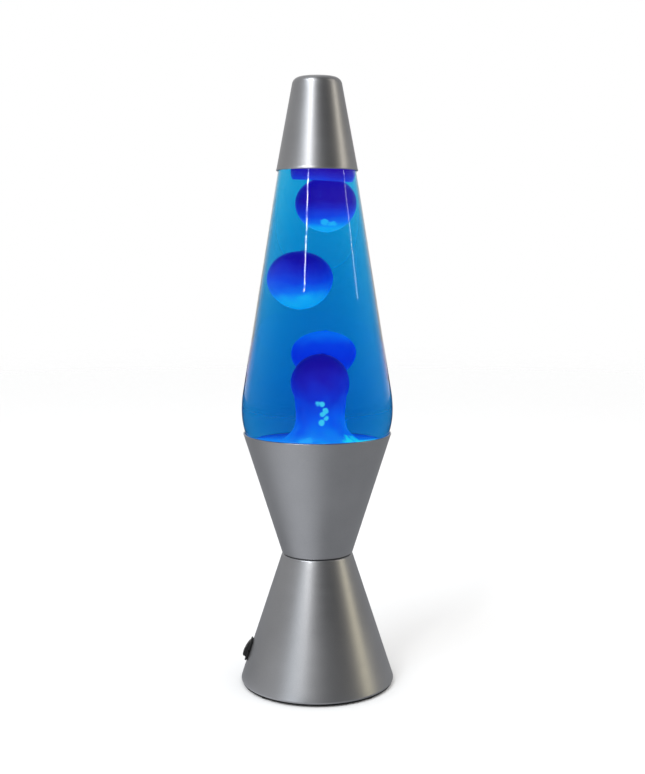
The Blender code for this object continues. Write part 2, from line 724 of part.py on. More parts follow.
def make_gland(base, lower_cone):
    seat = on_wall("gland_seat", 90, GLAND_Z)
    seat.parent = base
    flange_r, barrel_r = 6.9 * MM, 5.2 * MM
    points = [
        (flange_r - 0.6 * MM, GAP + 1.6 * MM),
        (flange_r, GAP + 1 * MM),
        (flange_r, GAP),
        (barrel_r, GAP),
        (barrel_r, -5.5 * MM),
        (GLAND_BORE_R, -5.5 * MM),
        (GLAND_BORE_R, GAP + 1.6 * MM),
    ]
    turned("cord_gland", points, "black_plastic", seat, SMALL_SEGMENTS)
    nut("gland_nut", 14 * MM, barrel_r + GAP, -4.4 * MM, -1.9 * MM, "black_plastic", seat)
    hole = rod("gland_hole", barrel_r + GAP, -4 * MM, 4 * MM, "silver_lacquer", seat)
    boolean(lower_cone, hole)


def make_lead(base, seat):
    """The lead inside the base, from the upper switch terminal to the lampholder's terminal screw."""
    tip_depth = switch_back() - TERMINAL[2] - GAP
    start = seat.matrix_world @ Vector((TERMINAL_X, 0, tip_depth))
    inwards = seat.matrix_world.to_3x3() @ Vector((0, 0, -1))
    route = [
        start,
        start + inwards * 2.5 * MM,
        start + inwards * 5.5 * MM + Vector((0, 0, 1.6 * MM)),
        Vector((-17.2 * MM, -2 * MM, 30 * MM)),
        Vector((-17.8 * MM, -1 * MM, 42 * MM)),
        Vector((-16.2 * MM, 0, DATUM_Z + 50 * MM)),
        Vector((-13.5 * MM, 0, DATUM_Z + 53.4 * MM)),
        Vector((-9.8 * MM, 0, DATUM_Z + 54 * MM)),
    ]
    wire("holder_lead", smooth_route(route, 3), 0.9 * MM, "wire_insulation", base)


def smooth_route(points, steps):
    """Points of the smooth curve that passes through the given ones."""
    ends = [points[0] * 2 - points[1]] + points + [points[-1] * 2 - points[-2]]
    made = []
    for a, b, c, d in zip(ends, ends[1:], ends[2:], ends[3:]):
        for i in range(steps):
            t = i / steps
            bend, twist = 2 * a - 5 * b + 4 * c - d, 3 * b - a - 3 * c + d
            made.append(0.5 * (2 * b + (c - a) * t + bend * t**2 + twist * t**3))
    return made + [points[-1]]


def main():
    clear_scene()
    base = empty("base")
    stack = empty("stack", (0, 0, DATUM_Z))
    stack.parent = base
    globe = empty("globe")
    globe.parent = stack
    cap = empty("cap_body")
    cap.parent = globe
    lower_cone = make_lower_cone(base)
    make_upper_cone(stack)
    make_bottom_plate(base)
    make_pipe(base)
    make_clamps(stack)
    make_lampholder(stack)
    switch_seat = make_switch(base, lower_cone)
    make_gland(base, lower_cone)
    make_lead(base, switch_seat)
    make_bulb(stack)
    make_globe(globe)
    for name, (centre, radius, half) in BLOBS.items():
        pivot = empty("wax_" + name, centre)
        pivot.parent = globe
        blob("wax_blob_" + name, radius, half, pivot, (0, 0, 0))
    make_cap(cap)


main()
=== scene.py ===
"""The looks of the lava lamp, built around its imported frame. Outlines are (radius, z) in millimetres."""

import math

import bmesh
import bpy
from mathutils import Matrix, Vector, noise


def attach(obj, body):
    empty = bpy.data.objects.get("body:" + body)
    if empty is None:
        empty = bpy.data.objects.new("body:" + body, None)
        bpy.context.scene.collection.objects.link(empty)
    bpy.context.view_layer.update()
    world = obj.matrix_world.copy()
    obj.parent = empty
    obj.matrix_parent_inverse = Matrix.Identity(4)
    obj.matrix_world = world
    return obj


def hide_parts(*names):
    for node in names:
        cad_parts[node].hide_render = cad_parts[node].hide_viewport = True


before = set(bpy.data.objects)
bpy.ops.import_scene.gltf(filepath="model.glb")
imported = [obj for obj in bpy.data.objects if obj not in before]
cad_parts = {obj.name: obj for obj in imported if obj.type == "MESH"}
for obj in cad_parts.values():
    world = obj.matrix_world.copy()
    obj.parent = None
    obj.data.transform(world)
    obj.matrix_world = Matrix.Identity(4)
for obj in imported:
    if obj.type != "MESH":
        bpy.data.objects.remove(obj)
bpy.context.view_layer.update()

MM = 0.001

# Stand. Heights of all that the lower cone carries, SEAM_Z among them, are measured from DATUM_Z.
DATUM_Z = 2.2
BASE_R, BASE_Z = 47.7, 1.7
WAIST_R, WAIST_Z = 21.6, 81.5
SEAM_Z = 79.6
LIP_R, LIP_Z = 44.8, 154.1
CAP_TOP_Z, CAP_EDGE_Z, CAP_EDGE_R = 365.8, 311.4, 24.4
HOLE_R = 14.3
FLANGE_R = 40.4
SHEET = 0.6
SLOPE = (BASE_R - WAIST_R) / (WAIST_Z - BASE_Z)
CONE_TAPER = (LIP_R - WAIST_R) / (LIP_Z - SEAM_Z - 1.2)
PAD_RING_R = 42.8

# Globe and its contents
GLOBE_R, GLOBE_R_Z = 45.9, 168
UPPER_BEND_R, LOWER_BEND_R = 70, 45
TAPER = 0.1646
GLOBE_LOW = 130.5
SHOULDER_Z = 321
GLASS = 2.2
SKIN = 0.45  # the liquid reaches this near the outer face, so that the glass shows no clear rim
NECK_R, NECK_Z, MOUTH_Z = 13.2, 328, 341
PUNT, PUNT_R = 2, 26
LIQUID_TOP = 323
FLOOR_Z = GLOBE_LOW + PUNT + GLASS + 0.3
COLUMN_AT, COLUMN_R, COLUMN_HALF = (1.6, -14, 185.4), 14.8, 17.5
POOL_TOP_Z = 155.2
WAX_TOP_X, WAX_TOP_Z, WAX_TOP_LEAN = 2.8, 312, 3
COIL_R, COIL_TURN_R, COIL_TURNS = 19.5, 2.6, 40

# E14 thread
PITCH = 2.822
THREAD_DEPTH = 0.7
ROOT_R = 6.15
THREAD_GAP = 0.28
THREAD_Z = (66.2, 76)

# Switch and cord gland on the lower cone's wall
SWITCH_AZIMUTH, SWITCH_Z = 180, 19.6
GLAND_AZIMUTH, GLAND_Z = 90, 16.5
ROCKER_HALF = 5.12
ROCKER_TILT = -11  # the upper end is in at rest

# Camera
CAMERA_AT = (0.0032, -0.716, 0.268)
CAMERA_DIP = 6.69
LENS = 36.77


# Meshes


def add(name, mesh, look, body, *nodes):
    """Shows a mesh as a piece that rides on a body, in place of these CAD nodes."""
    piece = bpy.data.objects.new(name, mesh)
    bpy.context.scene.collection.objects.link(piece)
    mesh.materials.clear()
    mesh.materials.append(look)
    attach(piece, body)
    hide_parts(*nodes)
    return piece


def carry(name, mesh, look, body, *nodes):
    """Shows a piece that the lower cone carries, drawn with its heights from DATUM_Z."""
    mesh.transform(Matrix.Translation((0, 0, DATUM_Z * MM)))
    return add(name, mesh, look, body, *nodes)


def smooth(mesh, degrees=30):
    """Smooth faces, with edges sharper than this left crisp."""
    mesh.shade_smooth()
    mesh.set_sharp_from_angle(angle=math.radians(degrees))
    return mesh


def mesh_of(name, bm, degrees=30):
    bmesh.ops.recalc_face_normals(bm, faces=bm.faces)
    mesh = bpy.data.meshes.new(name)
    bm.to_mesh(mesh)
    bm.free()
    return smooth(mesh, degrees)


def fillet(before, corner, after, radius, steps):
    """Points of the arc that rounds a corner."""
    a = (Vector(before) - Vector(corner)).normalized()
    b = (Vector(after) - Vector(corner)).normalized()
    half = a.angle(b) / 2
    centre = Vector(corner) + (a + b).normalized() * radius / math.sin(half)
    start = Vector(corner) + a * radius / math.tan(half) - centre
    end = Vector(corner) + b * radius / math.tan(half) - centre
    sweep = start.angle_signed(end)
    return [centre + Matrix.Rotation(-sweep * i / steps, 2) @ start for i in range(steps + 1)]


def outline(*points, steps=8, closed=False):
    """The outline with each point's third number as the radius that rounds it."""
    made = []
    for i, point in enumerate(points):
        if len(point) == 3 and point[2] and (closed or 0 < i < len(points) - 1):
            before, after = points[i - 1], points[(i + 1) % len(points)]
            made += fillet(before[:2], point[:2], after[:2], point[2], steps)
        else:
            made.append(Vector(point[:2]))
    return made


def arc(centre, radius, start, end, steps=16):
    """Points of an arc, with its angles in degrees from straight outwards."""
    angles = [math.radians(start + (end - start) * i / steps) for i in range(steps + 1)]
    return [Vector((centre[0] + radius * math.cos(a), centre[1] + radius * math.sin(a))) for a in angles]


def rows(points, step):
    """The same outline with points no further apart than step."""
    made = [points[0]]
    for a, b in zip(points, points[1:]):
        parts = max(1, math.ceil((Vector(b) - Vector(a)).length / step))
        made += [Vector(a).lerp(Vector(b), i / parts) for i in range(1, parts + 1)]
    return made


def walled(outer, wall, rim=True):
    """An outer face that runs down its outer side, closed into a wall with rounded rims."""
    outer = [Vector(p) for p in outer]
    inner = []
    for i, p in enumerate(outer):
        sides = [j for j in (i - 1, i) if 0 <= j < len(outer) - 1]
        along = [(outer[j + 1] - outer[j]).normalized() for j in sides]
        mean = sum(along, Vector((0, 0))).normalized()
        inwards = Vector((mean[1], -mean[0]))
        if p[0] == 0:
            inwards = Vector((0, math.copysign(1, inwards[1])))
        inner.append(p + inwards * wall / max(0.5, mean.dot(along[0])))
    inner.reverse()
    if not rim:
        return outer + inner
    ends = [half_round(outer[-1], inner[0], outer[-1] - outer[-2])]
    if outer[0][0] > 0:
        ends.append(half_round(inner[-1], outer[0], outer[0] - outer[1]))
    return outer + ends[0] + inner + (ends[1] if len(ends) > 1 else [])


def half_round(a, b, beyond):
    """Points that carry a rim from a round to b, bulging the way beyond points."""
    middle, half = (a + b) / 2, (a - b) / 2
    out = beyond.normalized() * half.length * 0.7
    turns = (0.6, 1.2, math.pi - 1.2, math.pi - 0.6)
    return [middle + half * math.cos(t) + out * math.sin(t) for t in turns]


def turned(name, points, segments=128, shape=None, degrees=30):
    """A mesh turned about Z. shape(r, z, angle) may change each point's radius."""
    bm = bmesh.new()
    rings = []
    for r, z in points:
        if r < 1e-6:
            rings.append([bm.verts.new((0, 0, z * MM))])
            continue
        ring = []
        for i in range(segments):
            angle = 2 * math.pi * i / segments
            radius = (shape(r, z, angle) if shape else r) * MM
            ring.append(bm.verts.new((radius * math.cos(angle), radius * math.sin(angle), z * MM)))
        rings.append(ring)
    for a, b in zip(rings, rings[1:] + rings[:1]):
        for i in range(segments):
            face = [a[i % len(a)], a[(i + 1) % len(a)], b[(i + 1) % len(b)], b[i % len(b)]]
            corners = list(dict.fromkeys(face))
            if len(corners) > 2:
                bm.faces.new(corners)
    return mesh_of(name, bm, degrees)


def prism(name, outline_xy, low, high, bevel=0.0, steps=3):
    """A mesh with this outline in XY, its edges rounded. Everything in millimetres."""
    bm = bmesh.new()
    face = bm.faces.new([bm.verts.new((x * MM, y * MM, low * MM)) for x, y in outline_xy])
    grown = bmesh.ops.extrude_face_region(bm, geom=[face])["geom"]
    top = [v for v in grown if isinstance(v, bmesh.types.BMVert)]
    bmesh.ops.translate(bm, verts=top, vec=(0, 0, (high - low) * MM))
    if bevel:
        sharp = [e for e in bm.edges if e.calc_face_angle(0) > math.radians(40)]
        bmesh.ops.bevel(bm, geom=sharp, offset=bevel * MM, segments=steps, profile=0.5, affect="EDGES")
    return mesh_of(name, bm)


def rectangle(x, y, radius=0.0):
    signs = ((-1, -1), (1, -1), (1, 1), (-1, 1))
    return outline(*((a * x / 2, b * y / 2, radius) for a, b in signs), steps=5, closed=True)


def carve(mesh, other, operation="DIFFERENCE"):
    """The mesh after a Boolean with the other one."""
    objects = []
    for each in (mesh, other):
        helper = bpy.data.objects.new("helper", each)
        bpy.context.scene.collection.objects.link(helper)
        objects.append(helper)
    cut = objects[0].modifiers.new("cut", "BOOLEAN")
    cut.operation, cut.object, cut.solver = operation, objects[1], "EXACT"
    bpy.context.view_layer.update()
    cut_object = objects[0].evaluated_get(bpy.context.evaluated_depsgraph_get())
    made = bpy.data.meshes.new_from_object(cut_object)
    for helper in objects:
        bpy.data.objects.remove(helper)
    made.name = mesh.name
    return smooth(made)


def placed(mesh, matrix):
    mesh.transform(matrix)
    return mesh


def wire(name, points, radius, sides=12, closed=False):
    """A mesh of a round wire through points in millimetres, its ends rounded."""
    points = [Vector(p) for p in points]
    count = len(points)
    bm = bmesh.new()
    rings = []
    normal = None
    for i, p in enumerate(points):
        ahead = points[(i + 1) % count] if closed or i < count - 1 else p
        behind = points[i - 1] if closed or i else p
        along = (ahead - behind).normalized()
        if normal is None:
            normal = along.orthogonal()
        normal = (normal - along * normal.dot(along)).normalized()
        side = along.cross(normal)
        turns = [2 * math.pi * j / sides for j in range(sides)]
        ring = [p + (normal * math.cos(t) + side * math.sin(t)) * radius for t in turns]
        rings.append([bm.verts.new(v * MM) for v in ring])
    pairs = list(zip(rings, rings[1:]))
    if closed:
        offset = min(range(sides), key=lambda k: (rings[0][k].co - rings[-1][0].co).length)
        pairs.append((rings[-1], rings[0][offset:] + rings[0][:offset]))
    for a, b in pairs:
        for j in range(sides):
            k = (j + 1) % sides
            bm.faces.new((a[j], a[k], b[k], b[j]))
    if not closed:
        for ring in (rings[0], rings[-1]):
            bm.faces.new(ring)
    return mesh_of(name, bm, 40)


def smooth_route(points, steps):
    """Points of the smooth curve that passes through the given ones."""
    points = [Vector(p) for p in points]
    ends = [points[0] * 2 - points[1]] + points + [points[-1] * 2 - points[-2]]
    made = []
    for a, b, c, d in zip(ends, ends[1:], ends[2:], ends[3:]):
        for i in range(steps):
            t = i / steps
            bend, twist = 2 * a - 5 * b + 4 * c - d, 3 * b - a - 3 * c + d
            made.append(0.5 * (2 * b + (c - a) * t + bend * t**2 + twist * t**3))
    return made + [points[-1]]


def smooth_profile(points):
    """The smooth outline that passes through the given (radius, z) points."""
    return [p.to_2d() for p in smooth_route([(r, z, 0) for r, z in points], 6)]


def on_wall(azimuth, z):
    """A place on the lower cone's outer face: local Z points out of the wall, local X up its slope."""
    turn = Matrix.Rotation(math.radians(azimuth), 4, "Z")
    tip = Matrix.Rotation(math.pi / 2 - math.atan(SLOPE), 4, "Y") @ Matrix.Rotation(math.pi, 4, "Z")
    r = BASE_R - SLOPE * (z - BASE_Z)
    return turn @ Matrix.Translation((r * MM, 0, z * MM)) @ tip


# Materials


def node(tree, kind, inputs=None, **settings):
    """A shader node, whose inputs are numbers, colours or other nodes' sockets."""
    made = tree.nodes.new("ShaderNode" + kind)
    for key, value in settings.items():
        setattr(made, key, value)
    for key, value in (inputs or {}).items():
        if isinstance(value, bpy.types.NodeSocket):
            tree.links.new(value, made.inputs[key])
        else:
            made.inputs[key].default_value = value
    return made


def new_look(name, **values):
    """A new material with its tree, its Principled shader and its object coordinates."""
    made = bpy.data.materials.new("look_" + name)
    made.use_nodes = True
    tree = made.node_tree
    shader = tree.nodes["Principled BSDF"]
    for key, value in values.items():
        shader.inputs[key.replace("_", " ")].default_value = value
    return made, tree, shader, node(tree, "TexCoord").outputs["Object"]


def pattern(tree, coords, scale, detail=3.0, stretch=(1, 1, 1), rough=0.55):
    """Noise between 0 and 1, stretched along the axes."""
    place = node(tree, "Mapping", {"Vector": coords, "Scale": stretch})
    inputs = {"Vector": place.outputs["Vector"], "Scale": scale, "Detail": detail, "Roughness": rough}
    return node(tree, "TexNoise", inputs).outputs["Fac"]


def fit(tree, value, low, high, to_low=0.0, to_high=1.0, kind="LINEAR"):
    inputs = {"Value": value, "From Min": low, "From Max": high, "To Min": to_low, "To Max": to_high}
    return node(tree, "MapRange", inputs, interpolation_type=kind).outputs["Result"]


def blend(tree, share, a, b, mode="MIX"):
    made = node(tree, "Mix", data_type="RGBA", blend_type=mode)
    for i, value in ((0, share), (6, a), (7, b)):
        if isinstance(value, bpy.types.NodeSocket):
            tree.links.new(value, made.inputs[i])
        else:
            made.inputs[i].default_value = value
    return made.outputs[2]


def maths(tree, operation, a, b=0.0):
    return node(tree, "Math", {0: a, 1: b}, operation=operation).outputs[0]


def bumped(tree, shader, *layers):
    """Adds bumps of (height socket, strength, distance in metres) to the shader."""
    normal = None
    for height, strength, distance in layers:
        inputs = {"Height": height, "Strength": strength, "Distance": distance}
        if normal:
            inputs["Normal"] = normal
        normal = node(tree, "Bump", inputs).outputs["Normal"]
    tree.links.new(normal, shader.inputs["Normal"])


def height_of(tree, coords):
    return node(tree, "SeparateXYZ", {"Vector": coords}).outputs["Z"]


def mirrored_ray(tree):
    """1 for a ray that was reflected, 0 for one seen directly or through glass."""
    path = node(tree, "LightPath").outputs
    return maths(tree, "SUBTRACT", path["Is Glossy Ray"], path["Is Transmission Ray"])


def sharp_ray(tree):
    """1 for a ray that last met a perfectly smooth surface, such as glass."""
    return node(tree, "LightPath").outputs["Is Singular Ray"]


def silver_lacquer():
    """Satin silver lacquer over spun metal: fine flake and faint spinning rings."""
    values = {"Metallic": 1.0, "Coat_Weight": 0.05, "Coat_Roughness": 0.3}
    made, tree, shader, coords = new_look("silver_lacquer", **values)
    cloud = pattern(tree, coords, 28, 3)
    flake = pattern(tree, coords, 2600, 2)
    rings = pattern(tree, coords, 420, 2, stretch=(0.004, 0.004, 1))
    base = blend(tree, fit(tree, cloud, 0.3, 0.7), (0.41, 0.412, 0.425, 1), (0.47, 0.472, 0.485, 1))
    base = blend(tree, fit(tree, flake, 0.35, 0.75, 0, 0.3), base, (0.62, 0.62, 0.63, 1))
    tree.links.new(base, shader.inputs["Base Color"])
    rough = fit(tree, cloud, 0.3, 0.7, 0.36, 0.40)
    rough = maths(tree, "ADD", rough, fit(tree, rings, 0.3, 0.7, -0.02, 0.03))
    tree.links.new(rough, shader.inputs["Roughness"])
    bumped(tree, shader, (flake, 0.05, 0.00005), (rings, 0.04, 0.0001))
    return made


def moulded(name, colour, rough, grain=0.3, scale=1800):
    """Moulded plastic or rubber with a fine grain and faint scuffs."""
    made, tree, shader, coords = new_look(name, Specular_IOR_Level=0.35)
    fine = pattern(tree, coords, scale, 2)
    cloud = pattern(tree, coords, 60, 4)
    paler = tuple(min(1, c * 1.5 + 0.004) for c in colour)
    base = blend(tree, fit(tree, cloud, 0.45, 0.75), (*colour, 1), (*paler, 1))
    tree.links.new(base, shader.inputs["Base Color"])
    tree.links.new(fit(tree, cloud, 0.3, 0.7, rough - 0.05, rough + 0.08), shader.inputs["Roughness"])
    bumped(tree, shader, (fine, grain, 0.00006))
    return made


def plated(name, colour, rough, darker=0.6, scale=140):
    """Bare or plated metal with soft tarnish and fine drawn lines."""
    made, tree, shader, coords = new_look(name, Metallic=1.0)
    cloud = pattern(tree, coords, scale, 5)
    lines = pattern(tree, coords, 900, 2, stretch=(0.05, 0.05, 1))
    dark = tuple(c * darker for c in colour)
    base = blend(tree, fit(tree, cloud, 0.35, 0.7), (*colour, 1), (*dark, 1))
    tree.links.new(base, shader.inputs["Base Color"])
    tree.links.new(fit(tree, cloud, 0.3, 0.75, rough, rough + 0.18), shader.inputs["Roughness"])
    bumped(tree, shader, (lines, 0.08, 0.00005))
    return made


def clear_glass(name, tint):
    """Clear moulded glass, a little wavy. The tint is that of its reflections."""
    made, tree, shader, coords = new_look(name, Roughness=0.0, IOR=1.47, Transmission_Weight=1.0)
    shader.inputs["Base Color"].default_value = (0.955, 0.995, 1.0, 1)
    shader.inputs["Specular Tint"].default_value = (tint, tint, tint, 1)
    wave = pattern(tree, coords, 34, 1, stretch=(1, 1, 0.25))
    bumped(tree, shader, (wave, 0.16, 0.0006))
    return made


def lamp_glass():
    made, tree, shader, coords = new_look("bulb_glass", Roughness=0.0, IOR=1.45, Transmission_Weight=1.0)
    shader.inputs["Base Color"].default_value = (0.985, 0.985, 0.97, 1)
    bumped(tree, shader, (pattern(tree, coords, 90, 1), 0.08, 0.0004))
    return made


def blue_liquid():
    """Clear liquid whose blue deepens with its thickness. Next to glass it hardly reflects."""
    made, tree, shader, _ = new_look("blue_liquid", Roughness=0.0, IOR=1.33, Transmission_Weight=1.0)
    shader.inputs["Base Color"].default_value = (1, 1, 1, 1)
    shader.inputs["Specular Tint"].default_value = (0.05, 0.05, 0.05, 1)
    absorb = node(tree, "VolumeAbsorption", {"Color": (0.045, 0.782, 0.921, 1), "Density": 110})
    tree.links.new(absorb.outputs["Volume"], tree.nodes["Material Output"].inputs["Volume"])
    return made


# Painted light of the wax from its underside to its top, as (level, colour): emission in place of the
# bulb's light shining up through the wax
BLOB_PAINTED_GLOW = [
    (0.0, (0.06, 0.72, 1.1)),
    (0.12, (0.05, 0.58, 1.1)),
    (0.27, (0.03, 0.24, 1.0)),
    (0.5, (0.03, 0.08, 0.85)),
    (0.78, (0.05, 0.022, 0.58)),
    (1.0, (0.05, 0.006, 0.40)),
]
POOL_PAINTED_GLOW = [
    (0.0, (0.01, 0.15, 0.80)),
    (0.13, (0.02, 0.36, 1.0)),
    (0.3, (0.02, 0.15, 0.95)),
    (0.55, (0.04, 0.035, 0.66)),
    (0.8, (0.06, 0.01, 0.48)),
    (1.0, (0.05, 0.004, 0.36)),
]
# Painted glow of the blob behind the column, lighter again at its top: a painted lighter rim
BACK_PAINTED_GLOW = [
    (0.0, (0.05, 0.20, 1.1)),
    (0.5, (0.05, 0.07, 1.0)),
    (0.8, (0.05, 0.13, 1.1)),
    (1.0, (0.03, 0.42, 1.3)),
]


def violet_wax(name, low, high, stops, painted_spots=()):
    """Wax whose translucent glow from the bulb below is painted as emission: painted light, with brighter
    painted light spots of (place, size, colour).
    """
    made, tree, shader, coords = new_look("wax_" + name, Roughness=0.35, Specular_IOR_Level=0.05)
    up = node(tree, "SeparateXYZ", {"Vector": node(tree, "NewGeometry").outputs["Normal"]}).outputs["Z"]
    drift = fit(tree, pattern(tree, coords, 55, 2), 0.3, 0.7, -0.1, 0.1)
    low, high = (low + DATUM_Z) * MM, (high + DATUM_Z) * MM
    # Painted shade: the level rises with height and on upward faces, so undersides and low parts take the
    # bright azure of painted bulb light and tops the dark violet
    level = maths(tree, "ADD", fit(tree, height_of(tree, coords), low, high), drift)
    level = maths(tree, "ADD", level, fit(tree, up, -1, 1, -0.12, 0.12))
    ramp = node(tree, "ValToRGB", {"Fac": level})
    for i, (place, colour) in enumerate(stops):
        stop = ramp.color_ramp.elements[i] if i < 2 else ramp.color_ramp.elements.new(place)
        stop.position, stop.color = place, (*colour, 1)
    painted_glow = ramp.outputs["Color"]
    ripple = pattern(tree, coords, 210, 2)
    # Painted light spots: brighter patches and glints blended into the painted glow
    for (x, y, z), size, colour in painted_spots:
        at = Vector((x, y, z + DATUM_Z)) * MM
        away = node(tree, "VectorMath", {0: coords, 1: at}, operation="DISTANCE").outputs["Value"]
        near = fit(tree, away, 0, size * MM, 1, 0)
        mask = fit(tree, maths(tree, "MULTIPLY", near, ripple), 0.2, 0.3, 0, 1, "SMOOTHSTEP")
        painted_glow = blend(tree, mask, painted_glow, (*colour, 1))
    # The wax glows though it is no lamp: this emission is painted light
    tree.links.new(painted_glow, shader.inputs["Emission Color"])
    shader.inputs["Emission Strength"].default_value = 0.95
    # Painted shade in the base colour too: lighter blue low down, dark violet at the top
    base = blend(tree, fit(tree, level, 0, 1), (0.01, 0.06, 0.25, 1), (0.02, 0.004, 0.12, 1))
    tree.links.new(base, shader.inputs["Base Color"])
    bumped(tree, shader, (pattern(tree, coords, 160, 2), 0.1, 0.0004))
    return made


def hot_tungsten():
    made, tree, shader, coords = new_look("tungsten", Metallic=1.0, Roughness=0.5)
    hot = blend(tree, pattern(tree, coords, 700, 2), (1.0, 0.50, 0.18, 1), (1.0, 0.78, 0.42, 1))
    tree.links.new(hot, shader.inputs["Emission Color"])
    shader.inputs["Emission Strength"].default_value = 22
    shader.inputs["Base Color"].default_value = (0.4, 0.36, 0.32, 1)
    return made


# Pieces


def make_stand():
    outer = [(HOLE_R, WAIST_Z), (WAIST_R, WAIST_Z, 1.4), (BASE_R, BASE_Z, 1.1), (FLANGE_R, BASE_Z)]
    outer = rows(outline(*outer), 5)
    lower = turned("lower_cone_skin", walled(outer, SHEET), 160)
    seat = on_wall(SWITCH_AZIMUTH, SWITCH_Z)
    hole = prism("hole", rectangle(13, 8.6, 0.6), -5, 5)
    lower = carve(lower, placed(hole, seat))
    hole = turned("hole", [(0, 4), (5.5, 4), (5.5, -4), (0, -4)], 48)
    lower = carve(lower, placed(hole, on_wall(GLAND_AZIMUTH, GLAND_Z)))
    add("lower_cone_skin", lower, SILVER, "base", "lower_cone")
    lip = [(LIP_R - 0.4, LIP_Z), (LIP_R + 0.35, LIP_Z - 0.35, 0.3), (LIP_R - 0.15, LIP_Z - 1.6, 0.8)]
    outer = rows(outline(*lip, (WAIST_R, SEAM_Z, 1.2), (HOLE_R, SEAM_Z)), 5)
    upper = turned("upper_cone_skin", walled(outer, SHEET), 160)
    carry("upper_cone_skin", upper, SILVER, "base", "upper_cone")


def make_bottom():
    rim_z = 0.8
    points = outline(
        (46.6, 1.4, 0.2),
        (46.6, rim_z, 0.25),
        (38.3, rim_z, 0.4),
        (38.3, 4.2, 0.5),
        (5.3, 4.2, 0.2),
        (5.3, 5.7, 0.2),
        (39.8, 5.7, 0.4),
        (39.8, 1.4),
        closed=True,
        steps=3,
    )
    plate = turned("bottom_plate_moulding", points, 128)
    bm = bmesh.new()
    for i in range(8):
        slot = prism("slot", rectangle(16, 3, 1.45), -3, 3)
        turn = Matrix.Rotation(2 * math.pi * (i + 0.5) / 8, 4, "Z")
        slot.transform(turn @ Matrix.Translation((24 * MM, 0, 5 * MM)))
        bm.from_mesh(slot)
    add("bottom_plate_moulding", carve(plate, mesh_of("slots", bm)), BLACK, "base", "bottom_plate")
    for i in range(4):
        angle = math.radians(45 + 90 * i)
        points = outline((0, 0.5), (3.2, 0.5, 0.12), (3.2, 0.0, 0.2), (0, 0), steps=4)
        pad = turned("pad", points, 40)
        x, y = PAD_RING_R * MM * math.cos(angle), PAD_RING_R * MM * math.sin(angle)
        pad.transform(Matrix.Translation((x, y, 0)))
        add(f"foot_pad_{i + 1}_disc", pad, RUBBER, "base", f"foot_pad_{i + 1}")


def hexagon(flats):
    corner = flats / math.sqrt(3)
    return [(corner * math.cos(a), corner * math.sin(a)) for a in (math.pi * i / 3 for i in range(6))]


def hex_nut(name, flats, bore, low, high):
    """A chamfered hexagonal nut along Z."""
    wide, narrow = flats / math.sqrt(3) + 0.05, flats / 2 + 0.1
    edge = (flats / math.sqrt(3) - flats / 2) * 0.5
    barrel = [(narrow, high), (wide, high - edge), (wide, low + edge), (narrow, low)]
    barrel += [(bore + 0.35, low), (bore, low + 0.35), (bore, high - 0.35), (bore + 0.35, high)]
    return carve(turned(name, barrel, 96), prism("hex", hexagon(flats), low - 1, high + 1), "INTERSECT")


def helix(radius, depth, pitch, low, high, hand=1):
    """A shape for turned(): a rounded thread cut this deep between two heights."""

    def shape(r, z, angle):
        if abs(r - radius) > 0.01:
            return r
        fade = max(0.0, min(1.0, (z - low) / pitch, (high - z) / pitch))
        return r - depth * fade * (0.5 - 0.5 * math.cos(2 * math.pi * z / pitch - hand * angle))

    return shape


def ribbed(radius, depth, count):
    """A shape for turned(): upright grip ribs on the outer face."""

    def shape(r, z, angle):
        return r - depth * (0.5 - 0.5 * math.cos(count * angle)) if abs(r - radius) < 0.01 else r

    return shape


def make_clamps():
    for name, low in (("lower_clamp_ring", SEAM_Z - 4.5), ("upper_clamp_ring", SEAM_Z + 0.9)):
        points = [(18.4, low + 3, 0.2), (18.4, low, 0.2), (14.0, low, 0.2), (14.0, low + 3, 0.2)]
        points = rows(outline(*points, closed=True, steps=3), 0.6)
        ring = turned(name + "_nut", points, 216, ribbed(18.4, 0.45, 36))
        carry(name + "_nut", ring, BLACK, "base", name)


def make_pipe():
    """The hollow rod from the bottom plate to the lampholder, threaded all along, and its nuts."""
    low, high = 1.0, DATUM_Z + 50
    outer = rows([Vector((5, high - 0.4)), Vector((5, low + 0.4))], 0.125)
    inner = [(4.1, low), (3.6, low + 0.5), (3.6, high - 0.5), (4.1, high)]
    pipe = [(4.6, high), *outer, (4.6, low), *inner]
    mesh = turned("lamp_pipe_rod", pipe, 48, helix(5, 0.3, 1.0, low + 0.4, high - 0.4))
    add("lamp_pipe_rod", mesh, NICKEL, "base", "lamp_pipe")
    for name, low in (("pipe_nut", 1.0), ("pipe_lock_nut", DATUM_Z + 42.8)):
        add(name + "_hex", hex_nut(name + "_hex", 14, 5.3, low, low + 2.9), NICKEL, "base", name)


def thread_r(z, angle, holder):
    low, high = THREAD_Z
    fade = max(0.0, min(1.0, (z - low) / PITCH + 1, (high - z) / PITCH + 1))
    root = 0.5 - 0.5 * math.cos(2 * math.pi * (z - low) / PITCH - angle)
    if holder:
        return ROOT_R + THREAD_DEPTH + THREAD_GAP - THREAD_DEPTH * fade * root
    return ROOT_R + THREAD_DEPTH * fade * (1 - root)


def threaded(name, low, high, wall):
    """An E14 shell with its thread rolled through the sheet, its wall outwards or, under 0, inwards."""
    rise = [low + (high - low) * i / 90 for i in range(91)]
    meeting_face, other_face = 1, 2

    def shape(face, z, angle):
        return thread_r(z, angle, holder=wall > 0) + (wall if face == other_face else 0)

    points = [(meeting_face, z) for z in reversed(rise)] + [(other_face, z) for z in rise]
    return turned(name, points, 72, shape, 50)


